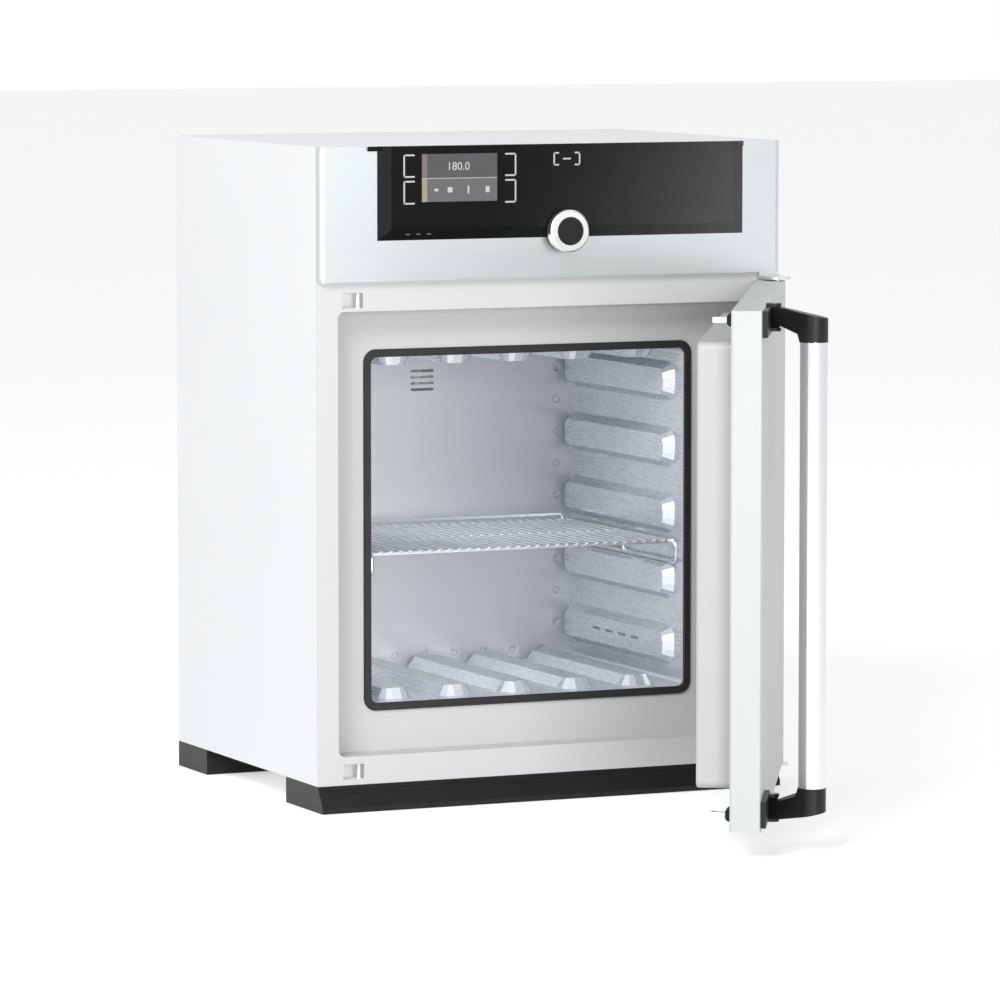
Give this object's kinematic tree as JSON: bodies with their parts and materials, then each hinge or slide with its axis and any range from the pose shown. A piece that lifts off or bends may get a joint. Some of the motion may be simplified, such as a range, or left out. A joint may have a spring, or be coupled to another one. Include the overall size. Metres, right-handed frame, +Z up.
{
  "type": "hot air sterilizer",
  "caption": "Bench hot air sterilizer with a ribbed stainless chamber, wire shelf, swinging insulated door with a latching bar handle, and a control head with a rotary knob.",
  "frame": {"origin": "on the surface that the feet stand on, in the plane of the front frame, at the middle of the width", "axes": "+X to the right seen from the front, +Y to the back, +Z up"},
  "size_m": [0.585, 0.9935, 0.7615],
  "materials": {
    "casing_steel": "off-white textured steel sheet",
    "front_enamel": "smooth pale grey enamel",
    "brushed_head": "stainless steel brushed along the width",
    "chamber_steel": "satin stainless steel",
    "black_moulding": "black moulded plastic, fine grain",
    "panel_black": "gloss black panel",
    "display_grey": "lit grey display under a clear cover",
    "seal_rubber": "black silicone rubber",
    "wool": "mineral wool",
    "heater_foil": "sheathed heating strip",
    "zinc_steel": "bright zinc-plated steel",
    "wire_steel": "electropolished stainless wire",
    "handle_silver": "satin anodised tube",
    "knob_silver": "turned and satin finished",
    "board_green": "printed circuit board",
    "motor_grey": "grey moulded case",
    "bush_plastic": "natural bearing plastic"
  },
  "bodies": {
    "cabinet": {"front_foot_rail": "black_moulding", "rear_foot_rail": "black_moulding", "side_panel_left": "casing_steel", "side_panel_right": "casing_steel", "top_cover": "casing_steel", "base_tray": "zinc_steel", "rear_panel": "casing_steel", "front_frame": "front_enamel", "electronics_tray": "zinc_steel", "chamber_liner": "chamber_steel", "chamber_rear_wall": "chamber_steel", "door_seal": "seal_rubber", "heater_left": "heater_foil", "heater_right": "heater_foil", "heater_floor": "heater_foil", "heater_ceiling": "heater_foil", "insulation_left": "wool", "insulation_right": "wool", "insulation_top": "wool", "insulation_bottom": "wool", "insulation_rear": "wool", "exhaust_tube": "zinc_steel", "flap_motor": "motor_grey", "fascia": "brushed_head", "control_panel": "panel_black", "display": "display_grey", "control_board": "board_green", "knob_encoder": "motor_grey", "power_supply": "motor_grey", "mains_inlet": "black_moulding", "rear_screws": "zinc_steel", "hinge_bracket_upper": "zinc_steel", "hinge_bracket_lower": "zinc_steel", "hinge_pins": "zinc_steel", "latch_strike_upper": "zinc_steel", "latch_strike_lower": "zinc_steel"},
    "door": {"door_shell": "casing_steel", "door_inner_panel": "front_enamel", "door_insulation": "wool", "hinge_bush_upper": "bush_plastic", "hinge_bush_lower": "bush_plastic", "latch_guide_upper": "black_moulding", "latch_guide_lower": "black_moulding", "latch_pins": "zinc_steel", "handle_base_upper": "black_moulding", "handle_base_lower": "black_moulding", "handle_pins": "zinc_steel"},
    "handle": {"handle_arm_upper": "black_moulding", "handle_arm_lower": "black_moulding", "handle_tube": "handle_silver"},
    "upper_tongue": {"latch_tongue_upper": "zinc_steel"},
    "lower_tongue": {"latch_tongue_lower": "zinc_steel"},
    "knob_push": {"push_plunger": "bush_plastic", "knob_shaft": "zinc_steel"},
    "knob": {"knob_ring": "knob_silver", "knob_cap": "black_moulding"},
    "shelf": {"shelf_grid": "wire_steel"},
    "flap": {"exhaust_flap": "zinc_steel"}
  },
  "joints": [
    {"name": "door_swing", "type": "hinge", "parent": "cabinet", "child": "door", "pos_m": [0.279, -0.028, 0.314], "axis": [0, 0, 1], "range_deg": [-60.7, 89.3]},
    {"name": "handle_turn", "type": "hinge", "parent": "door", "child": "handle", "pos_m": [0.05514, -0.46369, 0.317], "axis": [0, 0, 1], "range_deg": [-22, 0]},
    {"name": "upper_tongue_turn", "type": "hinge", "parent": "door", "child": "upper_tongue", "pos_m": [0.01167, -0.48803, 0.586], "axis": [0, 0, 1], "range_deg": [-12.1, 0]},
    {"name": "lower_tongue_turn", "type": "hinge", "parent": "door", "child": "lower_tongue", "pos_m": [0.01167, -0.48803, 0.045], "axis": [0, 0, 1], "range_deg": [-12.1, 0]},
    {"name": "knob_press", "type": "slide", "parent": "cabinet", "child": "knob_push", "axis": [0, 1, 0], "range_m": [0, 0.0015], "stiffness_N_per_m": 900, "springref_m": -0.0015},
    {"name": "knob_turn", "type": "hinge", "parent": "knob_push", "child": "knob", "pos_m": [0.0115, -0.024, 0.6615], "axis": [0, -1, 0], "continuous": true},
    {"name": "shelf_slide", "type": "slide", "parent": "cabinet", "child": "shelf", "axis": [0, -1, 0], "range_m": [0, 0.1]},
    {"name": "flap_turn", "type": "hinge", "parent": "cabinet", "child": "flap", "pos_m": [-0.006, 0.412, 0.464], "axis": [0, 0, 1], "range_deg": [0, 80]}
  ],
  "couplings": [
    {"joint": "upper_tongue_turn", "follows": "handle_turn", "ratio": 0.55},
    {"joint": "lower_tongue_turn", "follows": "handle_turn", "ratio": 0.55}
  ]
}
